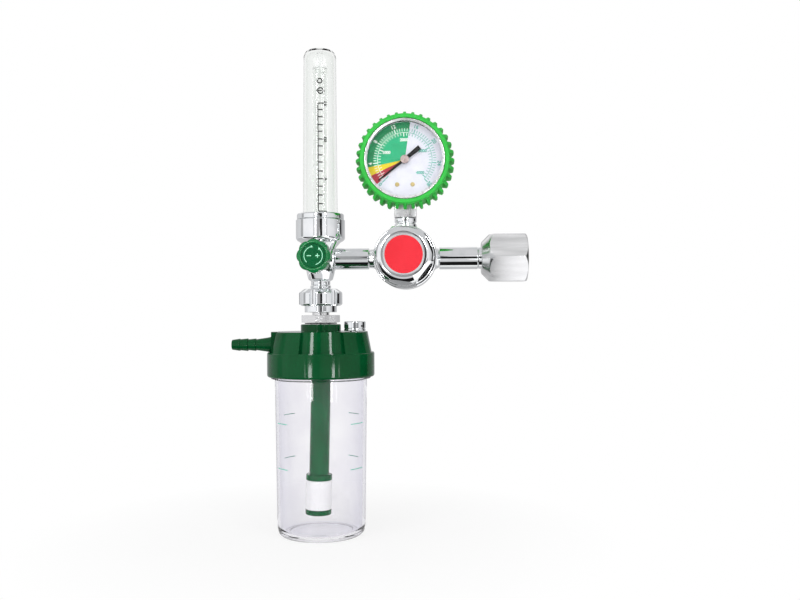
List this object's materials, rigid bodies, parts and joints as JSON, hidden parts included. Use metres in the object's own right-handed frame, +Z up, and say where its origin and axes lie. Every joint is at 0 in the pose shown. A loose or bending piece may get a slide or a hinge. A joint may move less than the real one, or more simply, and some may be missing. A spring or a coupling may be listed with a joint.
{
  "type": "oxygen flowmeter",
  "caption": "Cylinder oxygen flowmeter with a regulator, a booted pressure gauge, a flow tube with a needle valve, and a humidifier bottle.",
  "frame": {"origin": "centre of the inlet nut's mouth, on the inlet axis", "axes": "+X out of the inlet nut towards the cylinder valve, +Z up along the flow tube, and -Y towards the person who reads the dial"},
  "size_m": [0.1911, 0.0804, 0.3148],
  "materials": {
    "inlet_nut": "satin nickel plating with turning marks",
    "inlet_nipple": "polished chrome plating on brass",
    "inlet_oring": "black rubber",
    "inlet_filter": "sintered bronze",
    "inlet_tube": "polished chrome plating on brass",
    "outlet_tube": "polished chrome plating on brass",
    "regulator_body": "polished chrome plating on brass",
    "bonnet": "polished chrome plating on brass",
    "bonnet_label": "plain red plate",
    "adjusting_screw": "plain steel",
    "spring_button": "plain steel",
    "main_spring": "plain steel",
    "piston": "plain turned or stamped brass",
    "piston_seal": "black rubber",
    "valve_seat": "white plastic",
    "poppet": "plain turned or stamped brass",
    "poppet_spring": "plain steel",
    "rear_plug": "polished chrome plating on brass",
    "gauge_socket": "matte nickel plating",
    "gauge_case": "polished chrome plating on brass",
    "gauge_bezel": "polished chrome plating on brass",
    "gauge_window": "clear moulded plastic",
    "gauge_dial": "matt white with printed scale",
    "dial_screw_left": "plain turned or stamped brass",
    "dial_screw_right": "plain turned or stamped brass",
    "pointer": "matt black",
    "pinion": "plain turned or stamped brass",
    "movement_front_plate": "plain turned or stamped brass",
    "movement_rear_plate": "plain turned or stamped brass",
    "sector_gear": "plain turned or stamped brass",
    "link": "plain turned or stamped brass",
    "bourdon_tube": "phosphor bronze",
    "tip_bracket": "plain turned or stamped brass",
    "gauge_boot": "bright green rubber",
    "flow_body": "polished chrome plating on brass",
    "tube_collar": "polished chrome plating on brass",
    "outer_tube": "clear moulded plastic",
    "tube_oring": "black rubber",
    "metering_tube": "clear moulded plastic",
    "tube_foot": "white plastic",
    "float_ball": "plain steel",
    "tube_plug": "white plastic",
    "valve_gland": "polished chrome plating on brass",
    "needle_stem": "plain turned or stamped brass",
    "knob": "green moulded plastic",
    "knob_disc": "green moulded plastic",
    "outlet_nipple": "polished chrome plating on brass",
    "coupling_nut": "polished chrome plating on brass",
    "hex_insert": "satin nickel plating with turning marks",
    "insert_gasket": "black rubber",
    "lid": "dark green moulded plastic",
    "lid_gasket": "white plastic",
    "relief_body": "polished chrome plating on brass",
    "relief_cap": "polished chrome plating on brass",
    "relief_poppet": "white plastic",
    "relief_spring": "plain steel",
    "dip_tube": "dark green moulded plastic",
    "diffuser": "white porous plastic",
    "diffuser_cap": "dark green moulded plastic",
    "bottle": "clear moulded plastic"
  },
  "bodies": {
    "set": {"inlet_nipple": "inlet_nipple", "inlet_oring": "inlet_oring", "inlet_filter": "inlet_filter", "inlet_tube": "inlet_tube", "outlet_tube": "outlet_tube", "regulator_body": "regulator_body", "bonnet": "bonnet", "bonnet_label": "bonnet_label", "adjusting_screw": "adjusting_screw", "spring_button": "spring_button", "main_spring": "main_spring", "valve_seat": "valve_seat", "poppet_spring": "poppet_spring", "rear_plug": "rear_plug", "gauge_socket": "gauge_socket", "gauge_case": "gauge_case", "gauge_bezel": "gauge_bezel", "gauge_window": "gauge_window", "gauge_dial": "gauge_dial", "dial_screw_left": "dial_screw_left", "dial_screw_right": "dial_screw_right", "movement_front_plate": "movement_front_plate", "movement_rear_plate": "movement_rear_plate", "bourdon_tube": "bourdon_tube", "tip_bracket": "tip_bracket", "gauge_boot": "gauge_boot", "flow_body": "flow_body", "tube_collar": "tube_collar", "outer_tube": "outer_tube", "tube_oring": "tube_oring", "metering_tube": "metering_tube", "tube_foot": "tube_foot", "tube_plug": "tube_plug", "valve_gland": "valve_gland", "outlet_nipple": "outlet_nipple", "hex_insert": "hex_insert", "insert_gasket": "insert_gasket", "lid": "lid", "lid_gasket": "lid_gasket", "relief_body": "relief_body", "relief_cap": "relief_cap", "relief_spring": "relief_spring", "dip_tube": "dip_tube", "diffuser": "diffuser", "diffuser_cap": "diffuser_cap"},
    "inlet_nut": {"inlet_nut": "inlet_nut"},
    "coupling_nut": {"coupling_nut": "coupling_nut"},
    "piston": {"piston": "piston", "piston_seal": "piston_seal"},
    "poppet": {"poppet": "poppet"},
    "pointer": {"pointer": "pointer", "pinion": "pinion"},
    "sector": {"sector_gear": "sector_gear"},
    "link": {"link": "link"},
    "needle": {"needle_stem": "needle_stem"},
    "knob": {"knob": "knob", "knob_disc": "knob_disc"},
    "float_ball": {"float_ball": "float_ball"},
    "relief_poppet": {"relief_poppet": "relief_poppet"},
    "bottle": {"bottle": "bottle"}
  },
  "joints": [
    {"name": "inlet_nut_spin", "type": "hinge", "parent": "set", "child": "inlet_nut", "pos_m": [-0.015, 0, 0], "axis": [1, 0, 0], "continuous": true},
    {"name": "coupling_nut_spin", "type": "hinge", "parent": "set", "child": "coupling_nut", "pos_m": [-0.1332, 0, -0.025], "axis": [0, 0, 1], "continuous": true},
    {"name": "knob_turn", "type": "hinge", "parent": "needle", "child": "knob", "pos_m": [-0.1332, 0, 0], "axis": [0, -1, 0], "range_deg": [0, 540]},
    {"name": "needle_lift", "type": "slide", "parent": "set", "child": "needle", "axis": [0, -1, 0], "range_m": [0, 0.0015]},
    {"name": "float_rise", "type": "slide", "parent": "set", "child": "float_ball", "axis": [0, 0, 1], "range_m": [0, 0.0985]},
    {"name": "pointer_turn", "type": "hinge", "parent": "set", "child": "pointer", "pos_m": [-0.0779, 0, 0.0624], "axis": [0, 1, 0], "range_deg": [0, 263.5], "stiffness_Nm_per_rad": 0.00005, "springref_deg": -17.19},
    {"name": "sector_swing", "type": "hinge", "parent": "set", "child": "sector", "pos_m": [-0.07479, 0, 0.05081], "axis": [0, 1, 0], "range_deg": [-33, 0]},
    {"name": "link_swing", "type": "hinge", "parent": "sector", "child": "link", "pos_m": [-0.06912, 0, 0.05201], "axis": [0, 1, 0], "range_deg": [0, 53]},
    {"name": "piston_travel", "type": "slide", "parent": "set", "child": "piston", "axis": [0, -1, 0], "range_m": [0, 0.001], "stiffness_N_per_m": 1500, "springref_m": -0.002, "deforming": ["main_spring"]},
    {"name": "poppet_travel", "type": "slide", "parent": "set", "child": "poppet", "axis": [0, -1, 0], "range_m": [0, 0.001], "deforming": ["poppet_spring"]},
    {"name": "relief_lift", "type": "slide", "parent": "set", "child": "relief_poppet", "axis": [0, 0, 1], "range_m": [0, 0.0006], "stiffness_N_per_m": 2, "springref_m": -0.001, "deforming": ["relief_spring"]},
    {"name": "bottle_off", "type": "slide", "parent": "set", "child": "bottle", "axis": [0, 0, -1], "range_m": [0, 0.11]}
  ],
  "couplings": [
    {"joint": "knob_turn", "follows": "needle_lift", "rad_per_m": 6283.2},
    {"joint": "sector_swing", "follows": "pointer_turn", "ratio": -0.125},
    {"joint": "link_swing", "follows": "pointer_turn", "ratio": 0.2005},
    {"joint": "poppet_travel", "follows": "piston_travel", "ratio": 1}
  ]
}
